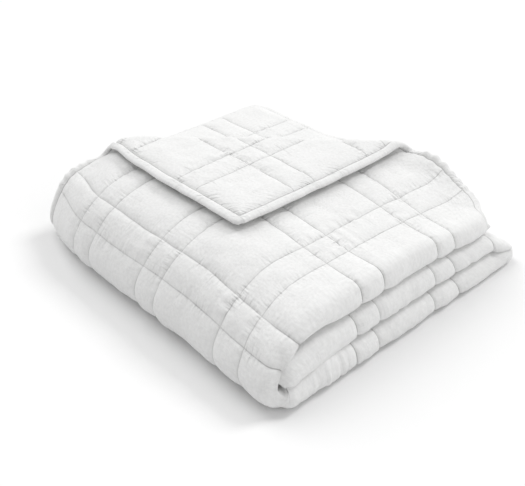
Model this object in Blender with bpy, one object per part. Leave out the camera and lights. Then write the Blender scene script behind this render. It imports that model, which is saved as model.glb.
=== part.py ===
"""A weighted blanket, folded for a shelf. Metres, +Z up, standing on z = 0.

One filled cloth, quilted in a double-line windowpane with a rolled hem, folded in half,
then in three like a letter, with the top layer's far corner turned back over the stack.

The cloth is quilted flat and then folded, as at home. On the flat cloth u runs along the
length and v across the width, both from the corner that is turned back, and w is the height
above the middle of the filling. The outer face is at +w.
"""
import math

import bmesh
import bpy
from mathutils import Vector

# The cloth as cut and filled
WIDTH = 1.524           # 60 in, across both layers of the half fold
PLY = 0.0275            # one filled layer in the middle of a box
PITCH = 0.0300          # one layer and the air above it
SEAM_PLY = 0.0200       # one layer where it is stitched through
PUFF_REACH = 0.028      # how far from a seam the filling reaches its full height

# The rolled hem
HEM_EDGE = 0.0115       # thickness of the rolled edge
HEM_STITCH = 0.016      # the stitch line's distance from the edge
HEM_STITCH_PLY = 0.0085
HEM_BULGE = 0.004       # how far the rolled edge rounds out

# Quilting, in pairs of stitch lines
PAIR_STEP = 0.2285      # 9 in from one pair to the next
PAIR_GAP = 0.062        # between the two lines of a pair
LENGTH_PAIRS = [        # first line from the turned corner's hem, number of pairs
    (0.1520, 3),        # the top panel and the left bend
    (0.9415, 3),        # the bottom panel
    (1.5920, 2),        # the middle panel
]
WIDTH_PAIRS = 6

# Where the folded stack stands
RIGHT_HEM = 0.3120      # x of the top panel's hem
BACK_HEM = 0.3780       # y of the hems at the back
CENTRE_X = 0.0110       # moves the finished stack's box over the origin
CENTRE_Y = 0.0209
LAYERS = 6
TOP_LEVEL = (LAYERS - 1) * PITCH + PLY / 2

# The letter fold, along the middle of the outer layer: radius and turn of each bend
TOP_PANEL = 0.505
SHOULDER_RADIUS = 0.192
SHOULDER_TURN = 58
SIDE_RADIUS = 0.046
SIDE_TURN = 50
FOOT_TURN = 180 - SHOULDER_TURN - SIDE_TURN
BOTTOM_PANEL = 0.570
RIGHT_RADIUS = 1.5 * PITCH
MIDDLE_PANEL = 0.450    # the straight of it, before its end bows down under the shoulder
END_RADIUS = 0.170
END_TURN = 38

# How much thinner the two layers get where a bend presses them together
BEND_PINCH = 0.34       # all round the left bend
FOOT_PINCH = 0.22       # more at its tight foot
END_PINCH = 0.38        # the middle panel's end

# The turned corner
CORNER = 0.546          # how far along each hem the corner is folded
ROLL_RADIUS = 0.0160
FALL_RADIUS = 0.150
ROLL_END = 0.45         # how much flatter the roll is where it runs out at the hems

# How the heavy cloth has settled
FRONT_DROOP = 0.130     # the front edge, as a share of the height
CORNER_DROOP = 0.160    # the right front corner, on top of that
MIDDLE_SQUASH = 0.004   # the middle band sinks into the bottom one at the front
BACK_PULL = 0.040       # the left fold is drawn in towards its end at the back
END_DROOP = 0.050       # and lies lower there
END_SAG = 0.130         # the hems sink under the end of the roll
FOOT_REACH = 0.006      # its near end reaches out
RIGHT_SPREAD = 0.100    # the lower panels reach past the top hem
FRONT_SPREAD = 0.042    # and past its front edge
TOP_TRIM = 0.014        # the top panel's near corner lies back from the lower ones
HEM_LIFT = 0.016        # the top hem stands up beside the turned corner
WAVE = 0.0022

# Corners of the stack that are round from above: x and y of the centre, and the lowest level
NEAR_CORNER = (-0.315, -0.369, 0.0)
RIGHT_CORNER = (0.235, -0.305, 0.6)

# Fineness of the bends
HAIRPIN_STEPS = 6
BEND_STEP = 0.026
ROLL_STEPS = 7
FALL_STEPS = 3

CLOTH_COLOUR = (0.86, 0.86, 0.85, 1.0)


class Run:
    """A path of straights and arcs in a plane, as (length, left turn in radians) rows."""

    def __init__(self, start, heading, rows):
        self.pieces = []
        self.stops = [0.0]
        x, y = start
        angle = heading
        for length, turn in rows:
            self.pieces.append((self.stops[-1], x, y, angle, length, turn))
            x, y, angle = self._step(x, y, angle, length, turn, length)
            self.stops.append(self.stops[-1] + length)
        self.length = self.stops[-1]

    @staticmethod
    def _step(x, y, angle, length, turn, s):
        if turn == 0:
            return x + s * math.cos(angle), y + s * math.sin(angle), angle
        radius = length / turn
        end = angle + s / radius
        x += radius * (math.sin(end) - math.sin(angle))
        y -= radius * (math.cos(end) - math.cos(angle))
        return x, y, end

    def at(self, s):
        """The point at s along the path, and the normal on its right-hand side."""
        for begin, x, y, angle, length, turn in self.pieces:
            if s <= begin + length or begin == self.pieces[-1][0]:
                px, py, end = self._step(x, y, angle, length, turn, s - begin)
                return px, py, math.sin(end), -math.cos(end)


def arc(radius, degrees):
    turn = math.radians(degrees)
    return abs(radius * turn), turn


def drop(radius, first, last):
    """How far an arc descends while its heading turns from first to last degrees."""
    return radius * (math.cos(math.radians(first)) - math.cos(math.radians(last)))


def half_fold():
    """Across the strip: y and the height over the outer layer's middle."""
    hairpin = arc(PITCH / 2, 180)
    layer = (WIDTH - hairpin[0]) / 2
    return Run((BACK_HEM, 0.0), math.pi, [(layer, 0), hairpin, (layer, 0)])


def letter_fold():
    """Along the strip: x and z of the outer layer's middle."""
    bend = SHOULDER_TURN + SIDE_TURN
    left = drop(SHOULDER_RADIUS, 0, SHOULDER_TURN) + drop(SIDE_RADIUS, SHOULDER_TURN, bend)
    foot = ((LAYERS - 1) * PITCH - left) / drop(1.0, bend, 180)
    return Run((RIGHT_HEM, TOP_LEVEL), math.pi, [
        (TOP_PANEL, 0),
        arc(SHOULDER_RADIUS, SHOULDER_TURN),
        arc(SIDE_RADIUS, SIDE_TURN),
        arc(foot, FOOT_TURN),
        (BOTTOM_PANEL, 0),
        arc(RIGHT_RADIUS, 180),
        (MIDDLE_PANEL, 0),
        arc(END_RADIUS, END_TURN),
    ])


def corner_roll():
    """Square to the corner's fold line: the way out, up, over and back down to the stack."""
    climb = PITCH + 0.0008
    lean = math.degrees(math.acos((climb + FALL_RADIUS - ROLL_RADIUS) / (ROLL_RADIUS + FALL_RADIUS)))
    return Run((0.0, 0.0), 0.0, [
        arc(ROLL_RADIUS, 180 + lean),
        arc(-FALL_RADIUS, -lean),
        (CORNER, 0),
    ])


ACROSS = half_fold()
ALONG = letter_fold()
ROLL = corner_roll()
LENGTH = ALONG.length
SHOULDER_START, FOOT_START, FOOT_END = ALONG.stops[1], ALONG.stops[2], ALONG.stops[4]


def smooth(x, start, end):
    t = min(1.0, max(0.0, (x - start) / (end - start)))
    return t * t * (3 - 2 * t)


def round_corner(x, y, level, corner):
    """Rounds a square corner of the stack, seen from above."""
    centre_x, centre_y, lowest = corner
    a = (x - centre_x) * math.copysign(1.0, centre_x)
    b = centre_y - y
    if a <= 0 or b <= 0:
        return x, y
    pull = 1.0 - (a ** 8 + b ** 8) ** 0.125 / math.hypot(a, b)
    if lowest > 0:
        pull *= smooth(level, lowest, 0.9)
    return x - (x - centre_x) * pull, y - (y - centre_y) * pull


def settle(x, y, z):
    """How the weight of the filling has shifted the neat stack. No two layers cross."""
    level = z / TOP_LEVEL
    front = smooth(-y, 0.10, 0.36)
    right = smooth(x, 0.02, 0.32)
    left_end = smooth(y, 0.20, 0.39) * smooth(-x, 0.06, 0.30)
    corner = smooth(-y, 0.17, 0.38) * smooth(x, 0.0, 0.34)
    sag = smooth(y, 0.28, 0.39) * smooth(-x, 0.10, 0.22) * (1.0 - smooth(-x, 0.25, 0.35))
    height = z - MIDDLE_SQUASH * front * 6.75 * level ** 2 * max(0.0, 1.0 - level)
    height *= 1.0 - FRONT_DROOP * front - CORNER_DROOP * corner - END_DROOP * left_end - END_SAG * sag
    beside = smooth(x, 0.20, 0.33) * smooth(y, -0.36, -0.20) * smooth(-y, -0.12, 0.02)
    height += HEM_LIFT * beside * smooth(level, 0.78, 1.0)
    height += WAVE * level * math.sin(9.0 * x + 1.0) * math.sin(11.0 * y + 0.5)
    pull = BACK_PULL * (0.5 + 0.5 * smooth(level, 0.0, 0.5))
    x += pull * left_end + RIGHT_SPREAD * right * max(0.0, 1.0 - 1.4 * level)
    x -= FOOT_REACH * front * smooth(-x, 0.20, 0.36) + TOP_TRIM * front * right * smooth(level, 0.6, 1.0)
    y -= FRONT_SPREAD * front * (1.0 - level)
    x, y = round_corner(x, y, level, NEAR_CORNER)
    x, y = round_corner(x, y, level, RIGHT_CORNER)
    return Vector((x + CENTRE_X, y + CENTRE_Y, height))


def squeeze(u):
    """What is left of the two layers' thickness at u, seen from the outer layer's middle."""
    bend = smooth(u, SHOULDER_START, SHOULDER_START + 0.12) * (1.0 - smooth(u, FOOT_END, FOOT_END + 0.10))
    foot = 1.0 - smooth(abs(u - (FOOT_START + FOOT_END) / 2), 0.02, 0.12)
    end = smooth(u, LENGTH - 0.10, LENGTH - 0.02)
    return 1.0 - BEND_PINCH * bend - FOOT_PINCH * foot - END_PINCH * end


def fold(u, v, w):
    """The place in the folded stack of a point of the flat cloth."""
    outside = CORNER - u - v
    if outside > 0:
        s = outside / math.sqrt(2)
        away, rise, away_n, rise_n = ROLL.at(s)
        side = (u - v) / CORNER
        rise *= 1.0 - ROLL_END * smooth(abs(side), 0.83, 0.98)
        step = (away - away_n * w - s) / math.sqrt(2)
        u -= step
        y = BACK_HEM - v + step
        h = rise - rise_n * w
    else:
        y, h, y_n, h_n = ACROSS.at(v)
        y += y_n * w
        h += h_n * w
        if h < 0:
            h *= squeeze(u)
    x, z, x_n, z_n = ALONG.at(u)
    return settle(x + x_n * h, y, z + z_n * h)


def stitch_lines(first, pairs):
    """Where the stitch lines run, for a number of pairs from a first line on."""
    return [first + PAIR_STEP * i + gap for i in range(pairs) for gap in (0.0, PAIR_GAP)]


U_LINES = [line for first, pairs in LENGTH_PAIRS for line in stitch_lines(first, pairs)]
V_LINES = stitch_lines((WIDTH - PAIR_GAP - PAIR_STEP * (WIDTH_PAIRS - 1)) / 2, WIDTH_PAIRS)


def puff(distance):
    """How full the cloth is at a distance from a stitch line, from 0 to 1."""
    t = min(1.0, distance / PUFF_REACH)
    return 1.0 - (1.0 - t) ** 2


def half_thickness(u, v):
    to_seam = min(min(abs(u - line) for line in U_LINES), min(abs(v - line) for line in V_LINES))
    full = SEAM_PLY + (PLY - SEAM_PLY) * puff(to_seam)
    edge = min(u, LENGTH - u, v, WIDTH - v)
    if edge < HEM_STITCH:
        rolled = HEM_EDGE + (HEM_STITCH_PLY - HEM_EDGE) * edge / HEM_STITCH
        return rolled / 2
    inside = puff(edge - HEM_STITCH)
    return (HEM_STITCH_PLY + (full - HEM_STITCH_PLY) * inside) / 2


def quilt_cuts(lines, size):
    """Where the flat mesh is cut across: hems, stitch lines, and the swell on both sides."""
    cuts = {HEM_STITCH, HEM_STITCH + 0.03, size - HEM_STITCH - 0.03, size - HEM_STITCH}
    for first, second in zip(lines[::2], lines[1::2]):
        cuts.update((first, second, (first + second) / 2, first - 0.03, second + 0.03))
    return cuts


def bend_cuts(start, end, step):
    count = max(1, round((end - start) / step))
    return {start + (end - start) * i / count for i in range(count + 1)}


def together(seams, bends, apart=0.010):
    """The cuts of the seams, and those of the bends that lie apart from them."""
    return sorted(seams | {cut for cut in bends if all(abs(cut - seam) > apart for seam in seams)})


def bisect(mesh, point, normal):
    geometry = mesh.verts[:] + mesh.edges[:] + mesh.faces[:]
    bmesh.ops.bisect_plane(mesh, geom=geometry, dist=1e-6, plane_co=point, plane_no=normal)


def flat_quilt():
    """The flat cloth as a closed mesh, cut along its stitch lines and its folds."""
    mesh = bmesh.new()
    bmesh.ops.create_cube(mesh, size=1.0)
    for vert in mesh.verts:
        vert.co = Vector(((vert.co.x + 0.5) * LENGTH, (vert.co.y + 0.5) * WIDTH, vert.co.z * PLY))
    stops = ALONG.stops
    along = bend_cuts(stops[1], stops[4], BEND_STEP) | bend_cuts(stops[5], stops[6], 0.019)
    along |= bend_cuts(stops[7], stops[8] - 0.022, 0.03)
    across = bend_cuts(ACROSS.stops[1], ACROSS.stops[2], PITCH * math.pi / 2 / HAIRPIN_STEPS)
    for cut in together(quilt_cuts(U_LINES, LENGTH), along):
        bisect(mesh, (cut, 0, 0), (1, 0, 0))
    for cut in together(quilt_cuts(V_LINES, WIDTH), across, 0.003):
        bisect(mesh, (0, cut, 0), (0, 1, 0))
    bisect(mesh, (0, 0, 0), (0, 0, 1))
    rows = bend_cuts(0.0, ROLL.stops[1], ROLL.stops[1] / ROLL_STEPS)
    rows |= bend_cuts(ROLL.stops[1], ROLL.stops[2], (ROLL.stops[2] - ROLL.stops[1]) / FALL_STEPS)
    for row in sorted(rows):
        reach = CORNER - row * math.sqrt(2)
        bisect(mesh, (reach, 0, 0), (1, 1, 0))
    return mesh


def quilted_blanket():
    mesh = flat_quilt()
    middle_rim = 1e-5
    for vert in mesh.verts:
        u, v, w = vert.co
        if abs(w) < middle_rim:
            u += HEM_BULGE * ((u > LENGTH - 1e-4) - (u < 1e-4))
            v += HEM_BULGE * ((v > WIDTH - 1e-4) - (v < 1e-4))
            vert.co = fold(u, v, 0.0)
        else:
            vert.co = fold(u, v, math.copysign(half_thickness(u, v), w))
    bmesh.ops.triangulate(mesh, faces=mesh.faces[:], quad_method="SHORT_EDGE")
    lowest = min(vert.co.z for vert in mesh.verts)
    for vert in mesh.verts:
        vert.co.z -= lowest
    bmesh.ops.recalc_face_normals(mesh, faces=mesh.faces[:])
    data = bpy.data.meshes.new("quilted_blanket")
    mesh.to_mesh(data)
    mesh.free()
    data.shade_smooth()
    return data


def cloth_material():
    material = bpy.data.materials.new("white quilted cotton")
    material.use_nodes = True
    shader = material.node_tree.nodes["Principled BSDF"]
    shader.inputs["Base Color"].default_value = CLOTH_COLOUR
    shader.inputs["Roughness"].default_value = 0.85
    shader.inputs["Metallic"].default_value = 0.0
    return material


def clear_scene():
    for item in list(bpy.data.objects):
        bpy.data.objects.remove(item, do_unlink=True)


def main():
    clear_scene()
    group = bpy.data.collections.new("weighted blanket")
    bpy.context.scene.collection.children.link(group)
    blanket = bpy.data.objects.new("quilted_blanket", quilted_blanket())
    blanket.data.materials.append(cloth_material())
    group.objects.link(blanket)


main()
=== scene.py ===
# %% [markdown]
# # A folded weighted blanket
#
# The real blanket is one heavy cloth: two cotton faces with a filling between them, quilted
# in a double-line windowpane and closed by a rolled, topstitched hem. It lies folded in half,
# then in three like a letter, with one corner turned back over the top.
#
# The lesson follows the maker. The cloth is quilted flat, with its puffs, puckers and stitch
# lines, and only then folded. That keeps every seam in one line from face to face, and the
# weave of the material follows the cloth through each bend.

# %% The frame
import math

import bpy
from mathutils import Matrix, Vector, noise


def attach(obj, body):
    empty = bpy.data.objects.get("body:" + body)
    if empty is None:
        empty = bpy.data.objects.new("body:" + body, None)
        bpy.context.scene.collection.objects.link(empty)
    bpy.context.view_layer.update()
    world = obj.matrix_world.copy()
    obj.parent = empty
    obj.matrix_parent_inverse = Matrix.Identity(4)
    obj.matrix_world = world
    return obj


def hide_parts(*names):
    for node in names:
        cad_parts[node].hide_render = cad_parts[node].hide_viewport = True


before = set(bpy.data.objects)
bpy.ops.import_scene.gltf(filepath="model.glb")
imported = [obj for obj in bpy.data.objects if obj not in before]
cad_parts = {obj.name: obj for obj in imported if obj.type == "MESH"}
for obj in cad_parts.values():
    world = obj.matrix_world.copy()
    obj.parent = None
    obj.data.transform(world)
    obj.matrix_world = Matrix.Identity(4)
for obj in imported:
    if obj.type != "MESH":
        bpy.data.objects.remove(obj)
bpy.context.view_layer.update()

# %% [markdown]
# ## The cloth as it is cut
#
# A single blanket of this kind is 60 x 80 in. Everything is measured on the flat cloth, in
# metres: u runs along its length and v across its width, both from the corner that will be
# turned back, and w is the height above the middle of the filling.

# %% Sizes of the cloth
WIDTH = 1.524
PLY = 0.0275            # a filled layer in the middle of a box
PITCH = 0.0300          # one layer and the air above it
SEAM_PLY = 0.0198       # a layer where it is stitched through
PUFF_REACH = 0.026      # how far from a seam the filling is full
HEM = 0.0145            # from the edge to the hem's topstitching

PAIR_STEP = 0.2285      # from one pair of stitch lines to the next
PAIR_GAP = 0.062        # between the two lines of a pair

# %% [markdown]
# ## How it is folded
#
# A fold is a path of straights and bends. One path runs across the cloth for the half fold,
# one along it for the letter fold, and a third, square to the turned corner's fold line, goes
# out, over and back down. They are the same paths as in the part's source, so the finished
# cloth lies where its solid lies.

# %% Paths of straights and bends
class Run:
    """A path in a plane, as (length, left turn in radians) rows."""

    def __init__(self, start, heading, rows):
        self.pieces = []
        self.stops = [0.0]
        x, y = start
        angle = heading
        for length, turn in rows:
            self.pieces.append((self.stops[-1], x, y, angle, length, turn))
            x, y, angle = self._step(x, y, angle, length, turn, length)
            self.stops.append(self.stops[-1] + length)
        self.length = self.stops[-1]
        self.last = self.pieces[-1][0]

    @staticmethod
    def _step(x, y, angle, length, turn, s):
        if turn == 0:
            return x + s * math.cos(angle), y + s * math.sin(angle), angle
        radius = length / turn
        end = angle + s / radius
        x += radius * (math.sin(end) - math.sin(angle))
        y -= radius * (math.cos(end) - math.cos(angle))
        return x, y, end

    def at(self, s):
        """The point at s along the path, and the normal on its right-hand side."""
        for begin, x, y, angle, length, turn in self.pieces:
            if s <= begin + length or begin == self.last:
                px, py, end = self._step(x, y, angle, length, turn, s - begin)
                return px, py, math.sin(end), -math.cos(end)


def arc(radius, degrees):
    turn = math.radians(degrees)
    return abs(radius * turn), turn


def drop(radius, first, last):
    """How far an arc descends while its heading turns from first to last degrees."""
    return radius * (math.cos(math.radians(first)) - math.cos(math.radians(last)))


# %% The half fold and the letter fold
RIGHT_HEM = 0.3120      # x of the top panel's hem
BACK_HEM = 0.3780       # y of the hems at the back
LAYERS = 6
TOP_LEVEL = (LAYERS - 1) * PITCH + PLY / 2

hairpin = arc(PITCH / 2, 180)
side = (WIDTH - hairpin[0]) / 2
ACROSS = Run((BACK_HEM, 0.0), math.pi, [(side, 0), hairpin, (side, 0)])

TOP_PANEL, BOTTOM_PANEL, MIDDLE_PANEL = 0.505, 0.570, 0.450
SHOULDER, SIDE = (0.192, 58), (0.046, 50)   # radius and degrees of the side fold's bends
DIP = (0.170, 38)       # and of the middle panel's end, which dips into the side fold
turned = SHOULDER[1] + SIDE[1]
fallen = drop(SHOULDER[0], 0, SHOULDER[1]) + drop(SIDE[0], SHOULDER[1], turned)
foot_radius = ((LAYERS - 1) * PITCH - fallen) / drop(1.0, turned, 180)
ALONG = Run((RIGHT_HEM, TOP_LEVEL), math.pi, [
    (TOP_PANEL, 0), arc(*SHOULDER), arc(*SIDE), arc(foot_radius, 180 - turned),
    (BOTTOM_PANEL, 0), arc(1.5 * PITCH, 180), (MIDDLE_PANEL, 0), arc(*DIP),
])
LENGTH = ALONG.length
SHOULDER_START, FOOT_START, FOOT_END = ALONG.stops[1], ALONG.stops[2], ALONG.stops[4]
print("flat cloth", WIDTH, "x", round(LENGTH, 3), "foot radius", round(foot_radius, 4))

# %% The turned corner
CORNER = 0.546          # how far along each hem the corner is folded
ROLL_RADIUS, FALL_RADIUS = 0.0160, 0.150
ROLL_AIR = 0.0008       # left between the turned corner and the cloth below it
ROLL_END = 0.45         # how much flatter the roll is where it runs out at the hems
fall = PITCH + ROLL_AIR + FALL_RADIUS - ROLL_RADIUS
lean = math.degrees(math.acos(fall / (ROLL_RADIUS + FALL_RADIUS)))
ROLL = Run((0.0, 0.0), 0.0, [arc(ROLL_RADIUS, 180 + lean), arc(-FALL_RADIUS, -lean), (CORNER, 0)])
print("the corner lies", round(ROLL.pieces[2][2], 4), "above its layer")

# %% [markdown]
# Heavy cloth doesn't stay a neat stack. The front sinks, the lower layers spread, the side
# fold draws in at its far end, the loose top hem lifts beside the turned corner, the hems below
# it hang, and the top panel's right end slides out. One smooth shift of space does all of that,
# so the layers keep their order.

# %% Settling
CENTRE = (0.0110, 0.0209)
NEAR_CORNER = (-0.315, -0.369, 0.0)     # x, y and lowest level from which a corner is round
RIGHT_CORNER = (0.235, -0.305, 0.6)
CORNER_POWER = 8        # how square the plan of the stack is before its corners are rounded

# Shares of its height that the stack loses in places.
FRONT_SINKS, CORNER_SINKS, END_SINKS, BACK_SINKS = 0.130, 0.160, 0.050, 0.130
HEMS_HANG = 0.085       # of the hems below the top one, at the back and on the right

# Shifts in metres.
MIDDLE_SINKS = 0.004    # of the upper layers inside the front
HEM_LIFTS = 0.013       # of the top hem beside the turned corner
WAVES = 0.0022          # of the whole top
END_DRAWS_IN = 0.040    # of the side fold's far end
NEAR_BULGES = 0.006     # of its near end
TOP_DRAWS_IN = 0.014    # of the top at the right front
RIGHT_SPREADS = 0.100   # of the lowest layers on the right
FRONT_SPREADS = 0.042   # and of those at the front
RIGHT_SLIDES = 0.019    # of the top panel's right end, towards the front
TO_FULL = 6.75          # makes the highest value of level squared times (1 - level) one


def smooth(x, start, end):
    t = min(1.0, max(0.0, (x - start) / (end - start)))
    return t * t * (3 - 2 * t)


def round_corner(x, y, level, corner):
    """Rounds a square corner of the stack, seen from above."""
    centre_x, centre_y, lowest = corner
    a = (x - centre_x) * math.copysign(1.0, centre_x)
    b = centre_y - y
    if a <= 0 or b <= 0:
        return x, y
    square = (a ** CORNER_POWER + b ** CORNER_POWER) ** (1 / CORNER_POWER)
    pull = 1.0 - square / math.hypot(a, b)
    if lowest > 0:
        pull *= smooth(level, lowest, 0.9)
    return x - (x - centre_x) * pull, y - (y - centre_y) * pull


def settle(x, y, z):
    """Where a point of the neat stack ends up."""
    level = z / TOP_LEVEL
    front = smooth(-y, 0.10, 0.36)
    right = smooth(x, 0.02, 0.32)
    near_end = smooth(-x, 0.20, 0.36)
    left_end = smooth(y, 0.20, 0.39) * smooth(-x, 0.06, 0.30)
    corner = smooth(-y, 0.17, 0.38) * smooth(x, 0.0, 0.34)
    sag = smooth(y, 0.28, 0.39) * smooth(-x, 0.10, 0.22) * (1.0 - smooth(-x, 0.25, 0.35))
    beside = smooth(x, 0.23, 0.32) * smooth(y, -0.34, -0.20) * smooth(-y, -0.12, 0.02)
    slid = smooth(x, 0.18, 0.31) * smooth(-y, 0.13, 0.24) * (1.0 - smooth(-y, 0.33, 0.42))
    along_back = smooth(y, 0.335, 0.385) * smooth(x, -0.28, -0.14)
    along_right = smooth(x, 0.262, 0.312) * smooth(y, 0.02, 0.14)
    hang = HEMS_HANG * max(along_back, along_right)

    height = z - MIDDLE_SINKS * front * TO_FULL * level ** 2 * max(0.0, 1.0 - level)
    height *= (1.0 - FRONT_SINKS * front - CORNER_SINKS * corner
               - END_SINKS * left_end - BACK_SINKS * sag)
    height += HEM_LIFTS * beside * smooth(level, 0.78, 1.0)
    height *= 1.0 - hang * smooth(level, 0.3, 0.8) * (1.0 - smooth(level, 0.88, 1.0))
    height += WAVES * level * math.sin(9.0 * x + 1.0) * math.sin(11.0 * y + 0.5)

    draw_in = END_DRAWS_IN * (0.5 + 0.5 * smooth(level, 0.0, 0.5))
    x += draw_in * left_end + RIGHT_SPREADS * right * max(0.0, 1.0 - 1.4 * level)
    x -= NEAR_BULGES * front * near_end + TOP_DRAWS_IN * front * right * smooth(level, 0.6, 1.0)
    x += RIGHT_SLIDES * slid * smooth(level, 0.55, 0.80)
    y -= FRONT_SPREADS * front * (1.0 - level)
    x, y = round_corner(x, y, level, NEAR_CORNER)
    x, y = round_corner(x, y, level, RIGHT_CORNER)
    return Vector((x + CENTRE[0], y + CENTRE[1], height))


print("the top sinks by", round(TOP_LEVEL - settle(0.0, -0.38, TOP_LEVEL).z, 4), "at the front")


# %% [markdown]
# Some things are finer here than in the solid. The front folds are pressed a little squarer
# than a half circle, so the bands lie close. The middle panel's near end stays full and reaches
# into the pocket of the side fold, which is pressed thin round it. Beside both ends of the roll
# the hem curls up.

# %% Folding
MIDDLE = WIDTH / 2      # v of the half fold
FRONT_REACH = 0.12      # how far from it the front's own thickness goes
TONGUE_SHIFT = (-0.031, 0.004)  # of the middle panel's near end, in x and z
SQUARER = 0.6           # how far the front folds are from a half circle, as a power above 2
CURL_RIGHT, CURL_BACK = 0.012, 0.011    # height of the hem's curl beside each end of the roll
CURL_WIDTH = 0.021

# Shares of its thickness that the lower half of the cloth loses, and then those it gains.
BEND_LOSES, FOOT_LOSES, END_LOSES, POCKET_LOSES = 0.34, 0.22, 0.38, 0.32
TONGUE_GAINS, FOOT_GAINS = 0.38, 0.50


def fading(x, centre, width):
    """1 at centre, less and less to both sides."""
    return math.exp(-((x - centre) / width) ** 2)


def pressed(u, v):
    """How far a point belongs to the side fold's near end, where both layers are thin."""
    return smooth(u, 0.50, 0.62) * (1.0 - smooth(u, 0.70, 0.76)) * fading(v, MIDDLE, FRONT_REACH)


def full_foot(u, v):
    """How far a point belongs to the bottom panel's near end, which stays thick."""
    return smooth(u, 0.705, 0.765) * (1.0 - smooth(u, 0.87, 0.97)) * fading(v, MIDDLE, FRONT_REACH)


def squeeze(u):
    """What is left of the two layers' thickness at u, where the bends press them together."""
    bend = smooth(u, SHOULDER_START, SHOULDER_START + 0.12)
    bend *= 1.0 - smooth(u, FOOT_END, FOOT_END + 0.10)
    foot = 1.0 - smooth(abs(u - (FOOT_START + FOOT_END) / 2), 0.02, 0.12)
    end = smooth(u, LENGTH - 0.10, LENGTH - 0.02)
    return 1.0 - BEND_LOSES * bend - FOOT_LOSES * foot - END_LOSES * end


def in_pocket(u, v):
    """How far a point belongs to the middle panel's near end, 0 to 1."""
    return smooth(u, LENGTH - 0.17, LENGTH - 0.03) * min(1.0, 1.6 * fading(v, MIDDLE, 0.10))


def pressed_square(y, h, power):
    """Presses the half fold from a half circle, a power of 2, towards a square."""
    middle = ACROSS.pieces[1][1]
    a, b = y - middle, h + PITCH / 2
    reach = math.hypot(a, b)
    if a >= 0 or reach < 1e-6:
        return y, h
    fuller = 1.0 / ((abs(a) / reach) ** power + (abs(b) / reach) ** power) ** (1 / power)
    return middle + a * fuller, b * fuller - PITCH / 2


def curl(u, v):
    """How far the hem curls up beside both ends of the roll."""
    right = fading(u, 0.0, CURL_WIDTH) * (1.0 - smooth(v, 0.60, 0.76))
    back = fading(v, 0.0, CURL_WIDTH) * (1.0 - smooth(u, 0.60, 0.74))
    past_roll = smooth(u + v, CORNER - 0.015, CORNER + 0.030)
    return past_roll * (CURL_RIGHT * right + CURL_BACK * back)


def fold(u, v, w):
    """The place in the folded stack of a point of the flat cloth."""
    outside = CORNER - u - v
    if outside > 0:
        s = outside / math.sqrt(2)
        away, rise, away_n, rise_n = ROLL.at(s)
        rise *= 1.0 - ROLL_END * smooth(abs(u - v) / CORNER, 0.83, 0.98)
        step = (away - away_n * w - s) / math.sqrt(2)
        u -= step
        y = BACK_HEM - v + step
        h = rise - rise_n * w
    else:
        y, h, y_n, h_n = ACROSS.at(v)
        at_bend = smooth(u, 0.36, 0.56) * (1.0 - smooth(u, 0.84, 1.00))
        y, h = pressed_square(y + y_n * w, h + h_n * w, 2.0 + SQUARER * (1.0 - at_bend))
        if h < 0:
            h *= (squeeze(u) + TONGUE_GAINS * in_pocket(u, v) - POCKET_LOSES * pressed(u, v)
                  + FOOT_GAINS * full_foot(u, v))
    x, z, x_n, z_n = ALONG.at(u)
    pocket = in_pocket(u, v)
    x = x + x_n * h + TONGUE_SHIFT[0] * pocket
    z = z + z_n * h + TONGUE_SHIFT[1] * pocket
    return settle(x, y, z)


print("tip of the turned corner", [round(c, 3) for c in fold(0, 0, 0)])

# %% [markdown]
# ## The quilting
#
# Two lines of stitching run side by side, then a wide box, all along and all across. Near a
# line the filling is pressed flat and the cloth puckers in short ridges square to the stitches.

# %% Stitch lines
def pairs(first, count):
    """count pairs of lines, the first line at first."""
    return [first + PAIR_STEP * i + gap for i in range(count) for gap in (0.0, PAIR_GAP)]


U_STARTS = (0.152, 0.9415, 1.592)       # top panel and side fold, bottom panel, middle panel
GROUP, LAST_GROUP = 3, 2                # pairs in each of the first two and in the last
V_PAIRS = 6
U_LINES = pairs(U_STARTS[0], GROUP) + pairs(U_STARTS[1], GROUP) + pairs(U_STARTS[2], LAST_GROUP)
V_START = (WIDTH - PAIR_GAP - PAIR_STEP * (V_PAIRS - 1)) / 2
V_LINES = pairs(V_START, V_PAIRS)
print(len(U_LINES), "lines across,", len(V_LINES), "lines along")


# %% [markdown]
# The flat cloth is a grid. Its rows and columns are not even: they fall on the hem's curve and
# on both sides of each stitch line, and lie closer together where the cloth is seen.

# %% Cuts of the flat mesh
RIM = (0.003, 0.006, 0.009, 0.0115, 0.013, HEM, 0.016, 0.019, 0.023)
BESIDE_LINE = (-0.0055, -0.0020, 0.0, 0.0020, 0.0055)
FINE = 0.0046           # from cut to cut where the cloth is seen
U_SEEN, V_SEEN = 0.93, 0.80             # how far it is seen, along and across
U_COARSE, V_COARSE = 0.0105, 0.0095     # from cut to cut past that


def spread(stops, fine_end, fine, coarse):
    """Cuts from stop to stop: close together up to fine_end, further apart after it."""
    cuts = []
    for start, end in zip(stops, stops[1:]):
        step = fine if start < fine_end else coarse
        count = max(1, math.ceil((end - start) / step - 1e-6))
        cuts += [start + (end - start) * i / count for i in range(count)]
    return cuts + [stops[-1]]


def stops_for(lines, size):
    """The places that must be cut: hem, stitch lines and the groove beside each line."""
    stops = {0.0, size} | set(RIM) | {size - rim for rim in RIM}
    for line in lines:
        stops |= {line + off for off in BESIDE_LINE}
    return sorted(stops)


U_CUTS = spread(stops_for(U_LINES, LENGTH), U_SEEN, FINE, U_COARSE)
V_CUTS = spread(stops_for(V_LINES, WIDTH), V_SEEN, FINE, V_COARSE)
print("grid", len(U_CUTS), "x", len(V_CUTS))


# %% [markdown]
# Filling swells a box and a seam holds it down. That could be sculpted or simulated, but a
# formula of the distance to the nearest seams gives every box its crown and every seam its
# groove in one go, and the noise in it keeps any two boxes from being alike.

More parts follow.
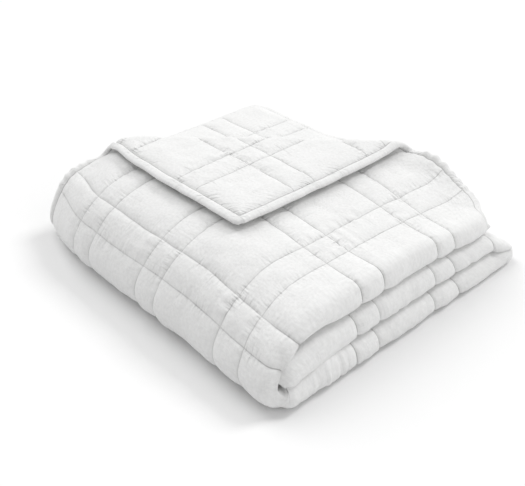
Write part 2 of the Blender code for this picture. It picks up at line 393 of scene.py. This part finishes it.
# %% How thick the cloth is at each point
HEM_PROFILE = [         # distance from the edge, half thickness
    (0.0, 0.0050), (0.003, 0.0063), (0.006, 0.0068), (0.009, 0.0064),
    (0.0115, 0.0053), (0.013, 0.0042), (HEM, 0.0030), (0.016, 0.0044),
    (0.019, 0.0068), (0.023, 0.0086), (0.034, 0.0112), (0.055, PLY / 2),
]
FOLD_WIDTH = 0.045      # how far from the half fold its own fullness and creases go
FOLD_FULL = 0.4         # how much of the fullness that a seam takes is left there
GROOVE, FOLD_GROOVE = 0.0013, 0.0016    # depth of a seam's groove, and what the fold adds to it
GROOVE_WIDTH = 0.0018
GATHER = 0.0052         # height of the ridges beside a seam
LUMPS, SMALL_LUMPS = 0.0024, 0.0016     # unevenness of the filling
CREASES = 0.0026        # height of those at the foot of the half fold
HOLLOW = 0.45           # share of the thickness lost beside each end of the roll
END_ROUND = 0.030       # how far in the middle panel's full end rounds off


def table(rows, x):
    """The value at x of a table of (x, value) rows."""
    for (x0, y0), (x1, y1) in zip(rows, rows[1:]):
        if x <= x1:
            return y0 + (y1 - y0) * (x - x0) / (x1 - x0)
    return rows[-1][1]


def nearest(lines, x):
    return min(abs(x - line) for line in lines)


def swell(distance):
    """How full the filling is at a distance from a stitch line, 0 to 1."""
    t = min(1.0, distance / PUFF_REACH)
    return 1.0 - (1.0 - t) ** 2


def ridges(along, away, seed):
    """Short ridges square to a stitch line that fade away from it."""
    reach = math.exp(-away / 0.016) * (1.0 - math.exp(-away / 0.0025))
    return reach * noise.noise((along / 0.0105, away / 0.050, seed))


def dimple(along, inward, centre):
    """1 in the middle of the hollow beside an end of the roll, fading round it."""
    return math.exp(-((along - centre) / 0.040) ** 2 - ((inward - 0.050) / 0.030) ** 2)


def half_thickness(u, v, face):
    """Half the cloth's thickness on one face, +1 outer or -1 inner."""
    du, dv = nearest(U_LINES, u), nearest(V_LINES, v)
    seed = 3.1 * face
    box = swell(du) * swell(dv)
    at_fold = fading(v, MIDDLE, FOLD_WIDTH)
    full = SEAM_PLY / 2 + (PLY - SEAM_PLY) / 2 * (box + FOLD_FULL * at_fold * (1.0 - box))
    full -= (GROOVE + FOLD_GROOVE * at_fold) * fading(du, 0.0, GROOVE_WIDTH)
    full -= GROOVE * fading(dv, 0.0, GROOVE_WIDTH)
    gather = max(0.0, 0.5 + 1.7 * noise.noise((u / 0.085, v / 0.085, seed + 9.0)))
    full += GATHER * gather * (ridges(v, du, seed) + ridges(u, dv, seed + 7.7))
    full += LUMPS * noise.noise((u / 0.070, v / 0.070, seed + 2.0)) * (0.3 + 0.7 * box)
    full += SMALL_LUMPS * noise.noise((u / 0.026, v / 0.026, seed + 5.0)) * (0.4 + 0.6 * box)
    creased = at_fold * smooth(u, 0.74, 0.78) * (1.0 + 0.8 * (1.0 - smooth(u, 0.82, 0.92)))
    full += CREASES * creased * noise.noise((u / 0.010, v / 0.15, seed))
    full *= 1.0 - pressed(u, v) * (0.15 + 0.20 * smooth(v, MIDDLE - 0.04, MIDDLE + 0.04))
    full *= 1.0 - HOLLOW * (dimple(u, v, 0.585) + dimple(v, u, 0.590))
    edge = min(u, LENGTH - u, v, WIDTH - v)
    if edge >= HEM_PROFILE[-1][0]:
        return full
    hemmed = min(full, table(HEM_PROFILE, edge))
    tip = 1.0 - min(1.0, (LENGTH - u) / END_ROUND)
    round_end = PLY / 2 * math.sqrt(max(0.15, 1.0 - tip * tip))
    return hemmed + (max(hemmed, round_end) - hemmed) * in_pocket(LENGTH, v)


box_middle = (PAIR_GAP + PAIR_STEP) / 2
in_a_box = half_thickness(U_LINES[0] + box_middle, V_LINES[0] + box_middle, 1)
at_a_seam = half_thickness(U_LINES[1], V_LINES[0] + box_middle, 1)
print("half thickness in a box", round(in_a_box, 4), "and at a seam", round(at_a_seam, 4))


# %% [markdown]
# The grid's rows and columns move to their cuts, and Solidify gives the cloth its second face
# and its rim.

# %% The flat quilt
def deselect_all():
    bpy.ops.object.select_all(action="DESELECT")


columns, rows = len(U_CUTS) - 1, len(V_CUTS) - 1
deselect_all()
bpy.ops.mesh.primitive_grid_add(x_subdivisions=columns, y_subdivisions=rows, size=1.0)
quilt = bpy.context.object
quilt.name = "quilt"
quilt.data.name = "quilt"
for vert in quilt.data.vertices:
    i, j = round((vert.co.x + 0.5) * columns), round((vert.co.y + 0.5) * rows)
    vert.co = (U_CUTS[i], V_CUTS[j], 0.0)
wall = quilt.modifiers.new("filling", "SOLIDIFY")
wall.thickness = PLY
wall.offset = 0.0
bpy.ops.object.modifier_apply(modifier=wall.name)
print("flat quilt", len(quilt.data.vertices), "points")

# %% [markdown]
# Three more cuts round the rim let the hem's edge be rounded. The flat coordinates go into the
# UV map before the cloth is folded, so the weave and the stitches can follow the cloth.

# %% Rim, flat coordinates and shape
RIM_CUTS = (-0.42, 0.0, 0.42)           # heights, in thicknesses of a layer
bpy.ops.object.mode_set(mode="EDIT")
for height in RIM_CUTS:
    bpy.ops.mesh.select_all(action="SELECT")
    bpy.ops.mesh.bisect(plane_co=(0, 0, height * PLY), plane_no=(0, 0, 1))
bpy.ops.object.mode_set(mode="OBJECT")

flat = [vert.co.copy() for vert in quilt.data.vertices]
uv_map = quilt.data.uv_layers.active
uv_map.name = "flat"
for loop in quilt.data.loops:
    uv_map.data[loop.index].uv = (flat[loop.vertex_index].x, flat[loop.vertex_index].y)

ROUND = 0.016           # radius of the cloth's own corners
FAR_ROUND = 0.050       # of the one that lies at the back, which sags round
BULGE = 0.0052          # how far the rolled edge rounds out
RIPPLE_RIGHT, RIPPLE_BACK = 0.0028, 0.0013      # height of the hem's waves beside the roll
BROAD_STRAY, CLOSE_STRAY = 0.0024, 0.0010       # how far seams stray, broadly and closely
EDGE = 1e-5             # nearer to the rim than this is on it


def rounded(u, v):
    """Rounds the cloth's corners by drawing their square tips in."""
    radius = FAR_ROUND if u < LENGTH / 2 and v > WIDTH / 2 else ROUND
    a = min(u, LENGTH - u) - radius
    b = min(v, WIDTH - v) - radius
    if a >= 0 or b >= 0:
        return u, v
    pull = 1.0 - max(-a, -b) / math.hypot(a, b)
    return u - a * pull * (1 if u < LENGTH / 2 else -1), v - b * pull * (1 if v < WIDTH / 2 else -1)


def hem_ripple(u, v):
    """The hem's own waves beside both ends of the roll, where the stitching gathers it."""
    right = smooth(v, 0.52, 0.57) * (1.0 - smooth(v, 0.66, 0.75)) * math.exp(-u / 0.020)
    back = smooth(u, 0.52, 0.57) * (1.0 - smooth(u, 0.64, 0.70)) * math.exp(-v / 0.020)
    waves = RIPPLE_RIGHT * right * math.sin(v * 280 + math.sin(v * 47))
    return waves + RIPPLE_BACK * back * math.sin(u * 260)


def wander(u, v):
    """No seam is sewn dead straight: how far the cloth wanders at a point, in its own plane."""
    broad_u, broad_v = (noise.noise((u / 0.090, v / 0.090, depth)) for depth in (4.4, 14.6))
    close_u, close_v = (noise.noise((u / 0.030, v / 0.030, depth)) for depth in (8.3, 18.7))
    along = BROAD_STRAY * broad_u + CLOSE_STRAY * close_u
    across = BROAD_STRAY * broad_v + CLOSE_STRAY * close_v
    return along, across


for vert, place in zip(quilt.data.vertices, flat):
    u, v, w = place
    level = w / (PLY / 2)
    half = half_thickness(u, v, 1 if w >= 0 else -1)
    lift = hem_ripple(u, v) + curl(u, v)
    off_u, off_v = wander(u, v)
    u, v = rounded(u + off_u, v + off_v)
    if abs(level) < 0.99:
        out = BULGE * math.sqrt(1.0 - level * level)
        u += out * ((place.x > LENGTH - EDGE) - (place.x < EDGE))
        v += out * ((place.y > WIDTH - EDGE) - (place.y < EDGE))
    vert.co = fold(u, v, half * level + lift)
lowest = min(vert.co.z for vert in quilt.data.vertices)
for vert in quilt.data.vertices:
    vert.co.z -= lowest
quilt.data.update()
print("folded quilt", tuple(round(c, 3) for c in quilt.dimensions))

# %% Normals and shading
bpy.ops.object.mode_set(mode="EDIT")
bpy.ops.mesh.select_all(action="SELECT")
bpy.ops.mesh.normals_make_consistent(inside=False)
bpy.ops.object.mode_set(mode="OBJECT")
bpy.ops.object.shade_smooth()
print("faces", len(quilt.data.polygons))

# %% [markdown]
# ## The cotton
#
# The cloth is a matt white cotton with a fine plain weave and small slubs. Its colour hardly
# varies, so most of what the eye reads is relief: the threads, the slubs, and small puckers
# beside each seam that are too fine for the mesh.

# %% A small language for shader maths
class Socket:
    """Wraps a socket so that an expression on it adds its Math nodes."""

    def __init__(self, maker, socket):
        self.maker = maker
        self.socket = socket

    def _math(self, operation, *values):
        return self.maker.node("ShaderNodeMath", {"operation": operation}, dict(enumerate(values)))

    def __add__(self, other):
        return self._math("ADD", self, other)

    __radd__ = __add__

    def __mul__(self, other):
        return self._math("MULTIPLY", self, other)

    __rmul__ = __mul__

    def __sub__(self, other):
        return self._math("SUBTRACT", self, other)

    def __rsub__(self, other):
        return self._math("SUBTRACT", other, self)

    def __truediv__(self, other):
        return self._math("DIVIDE", self, other)

    def __rtruediv__(self, other):
        return self._math("DIVIDE", other, self)

    def less(self, other):
        return self._math("LESS_THAN", self, other)

    def greater(self, other):
        return self._math("GREATER_THAN", self, other)

    def absolute(self):
        return self._math("ABSOLUTE", self)

    def sine(self):
        return self._math("SINE", self)

    def lower(self, other):
        return self._math("MINIMUM", self, other)

    def upper(self, other):
        return self._math("MAXIMUM", self, other)

    def rounded(self):
        return self._math("ROUND", self)

    def exponent(self):
        return self._math("POWER", math.e, self)


class Maker:
    """Builds one material's nodes."""

    def __init__(self, name):
        self.material = bpy.data.materials.new(name)
        self.material.use_nodes = True
        self.tree = self.material.node_tree
        self.shader = self.tree.nodes["Principled BSDF"]

    def node(self, kind, settings=None, values=None, output=0):
        made = self.tree.nodes.new(kind)
        for key, value in (settings or {}).items():
            setattr(made, key, value)
        for key, value in (values or {}).items():
            if isinstance(value, Socket):
                self.tree.links.new(value.socket, made.inputs[key])
            else:
                made.inputs[key].default_value = value
        return Socket(self, made.outputs[output])

    def feed(self, name, value):
        if isinstance(value, Socket):
            self.tree.links.new(value.socket, self.shader.inputs[name])
        else:
            self.shader.inputs[name].default_value = value


# %% Where a point lies on the flat cloth
def flat_place(maker):
    uv = maker.node("ShaderNodeUVMap", {"uv_map": "flat"})
    u = maker.node("ShaderNodeSeparateXYZ", {}, {0: uv}, 0)
    v = maker.node("ShaderNodeSeparateXYZ", {}, {0: uv}, 1)
    return u, v


def to_lines(x, first):
    """The distance to the nearest line of pairs that start at first."""
    off_one = x - first
    off_two = x - (first + PAIR_GAP)
    one = (off_one - PAIR_STEP * (off_one / PAIR_STEP).rounded()).absolute()
    two = (off_two - PAIR_STEP * (off_two / PAIR_STEP).rounded()).absolute()
    return one.lower(two)


def stretched(maker, u, v, along, across, detail, seed=0.0):
    """Noise whose grains are along by across, in metres."""
    place = maker.node("ShaderNodeCombineXYZ", {}, {0: u / along, 1: v / across, 2: seed})
    return maker.node("ShaderNodeTexNoise", {}, {"Vector": place, "Scale": 1.0, "Detail": detail}, 0)


# %% [markdown]
# The lines across the cloth are in three groups, one to a panel, so u is shifted past each
# group until all of them fall on one even step. Between the last line of the side fold and the
# first of the bottom panel there is none, and that stretch is masked.

# %% Stitch lines in the material
PAST_SIDE, PAST_BOTTOM = 0.80, 1.53     # where the first group and the second end
BARE = (0.71, 0.90)     # the stretch without lines
TONGUE = (0.040, 0.14)  # how far in and how wide the middle panel's end has no hem line
FAR_REACH = 0.60        # how far along each hem the corner at the back goes
FAR_FAINT = 0.003       # makes the hem line there fainter, as if it were this much further off

cotton = Maker("white quilted cotton")
u, v = flat_place(cotton)
shift_side = U_STARTS[0] + GROUP * PAIR_STEP - U_STARTS[1]
shift_bottom = U_STARTS[1] + GROUP * PAIR_STEP - U_STARTS[2]
even_u = u + u.greater(PAST_SIDE) * shift_side + u.greater(PAST_BOTTOM) * shift_bottom
bare = u.greater(BARE[0]) * u.less(BARE[1])
du = to_lines(even_u, U_STARTS[0]) + bare
dv = to_lines(v, V_START)
edge = (u.lower(LENGTH - u)).lower(v.lower(WIDTH - v))
tongue = u.greater(LENGTH - TONGUE[0]) * (v - MIDDLE).absolute().less(TONGUE[1])
far_edge = u.less(FAR_REACH) * v.greater(WIDTH - FAR_REACH)
dh = (edge - HEM).absolute() + tongue + far_edge * FAR_FAINT
in_hem = edge.less(HEM + 0.001)
print("nodes that find the seams", len(cotton.tree.nodes))

# %% Weave, slubs and puckers
THREAD = 0.0011         # from one thread to the next
WEAVE, SLUBS, SOFT, PUCKERS = 0.00006, 0.00036, 0.0014, 0.0078      # heights in the relief
PUCKERS_FADE = -65.0    # per metre away from their seam
weave = (u * (2 * math.pi / THREAD)).sine() * (v * (2 * math.pi / THREAD)).sine()
slub = stretched(cotton, u, v, 0.016, 0.0014, 3.0) + stretched(cotton, u, v, 0.0014, 0.016, 3.0, 5.0)
soft = stretched(cotton, u, v, 0.0065, 0.0065, 3.0, 9.0)


def puckered(seed, along, away):
    """Puckers that are long away from a line and short along it, and fade away from it."""
    grain = stretched(cotton, away, along, 0.026, 0.0062, 1.0, seed) - 0.5
    return grain * (away * PUCKERS_FADE).exponent()


patchy = ((stretched(cotton, u, v, 0.045, 0.045, 1.0, 21.0) - 0.42) * 5.0).lower(1.0).upper(0.12)
puckers = (puckered(2.0, v, du) + puckered(4.0, u, dv) + puckered(6.0, u + v, dh)) * patchy
relief = weave * WEAVE + slub * SLUBS + soft * SOFT + puckers * PUCKERS
bump = cotton.node("ShaderNodeBump", {}, {"Height": relief, "Distance": 1.0, "Strength": 0.9})
cotton.feed("Normal", bump)
print("nodes with the relief", len(cotton.tree.nodes))

# %% [markdown]
# A stitch line is thread sunk into a groove of the cloth. It could be modelled, but at this distance
# it only reads as a fine grey line. So thread and the groove's shade are painted into the colour
# together: painted shade on the line, a fainter painted shade on the cloth beside it, stronger in
# some places than others.

# %% Colour
DULL, WHITE = (0.74, 0.74, 0.735, 1.0), (0.88, 0.88, 0.875, 1.0)
# colour of the stitch lines: painted shade of their grooves, with the thread in them
PAINTED_SEAM_SHADE = (0.42, 0.42, 0.415, 1.0)
LINE_WIDTH = 0.0011     # half the width of a stitch line
LINE_DEEP, LINE_SOFT = 0.52, 0.22       # how much painted shade the line has with its thread, and the painted groove shade on the cloth by it
LINE_FADES = -800.0     # per metre away from the line
TOP_END, TOP_FADES = 0.47, 12.0         # u where the top's stronger painted seam shade ends, and how fast
FRONT_FADES = -18.0     # the same for the stronger painted seam shade at the front, per metre from the half fold
COLOUR_A, COLOUR_B, COLOUR_OUT = 6, 7, 2    # the Mix node's sockets for colours


def thread_and_painted_shade(distance):
    """How much of a stitch line's thread and painted groove shade shows at a distance from it."""
    return distance.less(LINE_WIDTH) * LINE_DEEP + (distance * LINE_FADES).exponent() * LINE_SOFT


def blend(factor, first, second):
    """A colour between two, each a colour or a link."""
    ends = {"Factor": factor, COLOUR_A: first, COLOUR_B: second}
    return cotton.node("ShaderNodeMix", {"data_type": "RGBA"}, ends, COLOUR_OUT)


# Random unevenness in the stitch lines' painted shade.
uneven_line_shade = stretched(cotton, u, v, 0.030, 0.030, 1.0, 31.0) * 1.6 - 0.25
# The stitch lines' painted shade is stronger on the top and at the front.
on_top = ((TOP_END - u) * TOP_FADES).exponent().lower(1.0)
at_front = ((v - MIDDLE).absolute() * FRONT_FADES).exponent()
strength = uneven_line_shade.lower(1.0).upper(0.55) * (0.85 + on_top * 0.40 + at_front * 0.60)
# Thread and painted groove shade of the stitch lines and of the hem's topstitching, for the cloth's
# colour.
seam_thread_and_shade = (thread_and_painted_shade(du.lower(dv) + in_hem) * strength).lower(0.9).upper(thread_and_painted_shade(dh) * 0.9)
mottle = (stretched(cotton, u, v, 0.0060, 0.0060, 2.0, 13.0) - 0.5) * 1.6 + (slub - 1.0) * 0.8 + 0.5
tone = stretched(cotton, u, v, 0.11, 0.11, 2.0, 3.0) * 0.35 + mottle * 0.65

cotton.feed("Base Color", blend(seam_thread_and_shade, blend(tone, DULL, WHITE), PAINTED_SEAM_SHADE))
cotton.feed("Roughness", 0.92 - slub * 0.08)
cotton.feed("Sheen Weight", 0.12)
cotton.feed("Sheen Roughness", 0.6)
cotton.feed("Specular IOR Level", 0.25)
quilt.data.materials.append(cotton.material)
print("nodes in the cotton", len(cotton.tree.nodes))

# %% [markdown]
# The quilt is soft and filled, it lies on the one body there is, and it is shown in place of the
# plainer solid of the same blanket.

# %% The quilt rides on the frame
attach(quilt, "root")
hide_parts("quilted_blanket")

# %% [markdown]
# ## Floor, light and camera
#
# A white floor that runs out of the picture, an even sky and three soft suns give the bright,
# low-contrast look of a catalogue picture. The two keys come from the right and from behind,
# which leaves the side fold in soft shade, and a weak fill opens up the front.

# %% Floor
FLOOR_SIZE = 30.0
PAPER = (0.865, 0.865, 0.865, 1.0)
deselect_all()
bpy.ops.mesh.primitive_plane_add(size=FLOOR_SIZE)
floor = bpy.context.object
floor.name = "floor"
paper = Maker("white floor")
paper.feed("Base Color", PAPER)
paper.feed("Roughness", 0.9)
paper.feed("Specular IOR Level", 0.0)
floor.data.materials.append(paper.material)
print("floor", FLOOR_SIZE, "m square, colour", PAPER[0])

# %% Light
SKY = 0.55
world = bpy.data.worlds.new("studio")
bpy.context.scene.world = world
world.use_nodes = True
sky = world.node_tree.nodes["Background"]
sky.inputs["Color"].default_value = (1.0, 1.0, 1.0, 1.0)
sky.inputs["Strength"].default_value = SKY


def sun(name, strength, spread_degrees, direction):
    """A soft sun that shines along direction."""
    lamp = bpy.data.lights.new(name, "SUN")
    lamp.energy = strength
    lamp.angle = math.radians(spread_degrees)
    light = bpy.data.objects.new(name, lamp)
    light.rotation_euler = Vector(direction).to_track_quat("-Z", "Y").to_euler()
    bpy.context.scene.collection.objects.link(light)


sun("key from the right", 1.22, 20, (-0.85, 0.10, -0.85))
sun("key from behind", 1.28, 45, (-0.05, -0.85, -1.0))
sun("fill from the front", 0.34, 60, (-0.30, 0.90, -0.45))
print("suns", [(lamp.name, round(lamp.energy, 2)) for lamp in bpy.data.lights], "sky", SKY)

# %% Camera
PICTURE = (525, 486)
FOCAL = 800.0           # in pixels of the picture
SENSOR = 36.0
TARGET = Vector((0.0005, 0.0274, 0.0))
EYE = Vector((-1.0370, -1.0957, 1.0138))
camera_data = bpy.data.cameras.new("camera")
camera_data.sensor_fit = "HORIZONTAL"
camera_data.sensor_width = SENSOR
camera_data.lens = FOCAL / PICTURE[0] * SENSOR
camera = bpy.data.objects.new("camera", camera_data)
camera.location = EYE
camera.rotation_euler = (TARGET - EYE).to_track_quat("-Z", "Y").to_euler()
bpy.context.scene.collection.objects.link(camera)
bpy.context.scene.camera = camera
bpy.context.scene.view_settings.view_transform = "Standard"
bpy.context.scene.view_settings.look = "None"
print("lens", round(camera_data.lens, 2), "mm")
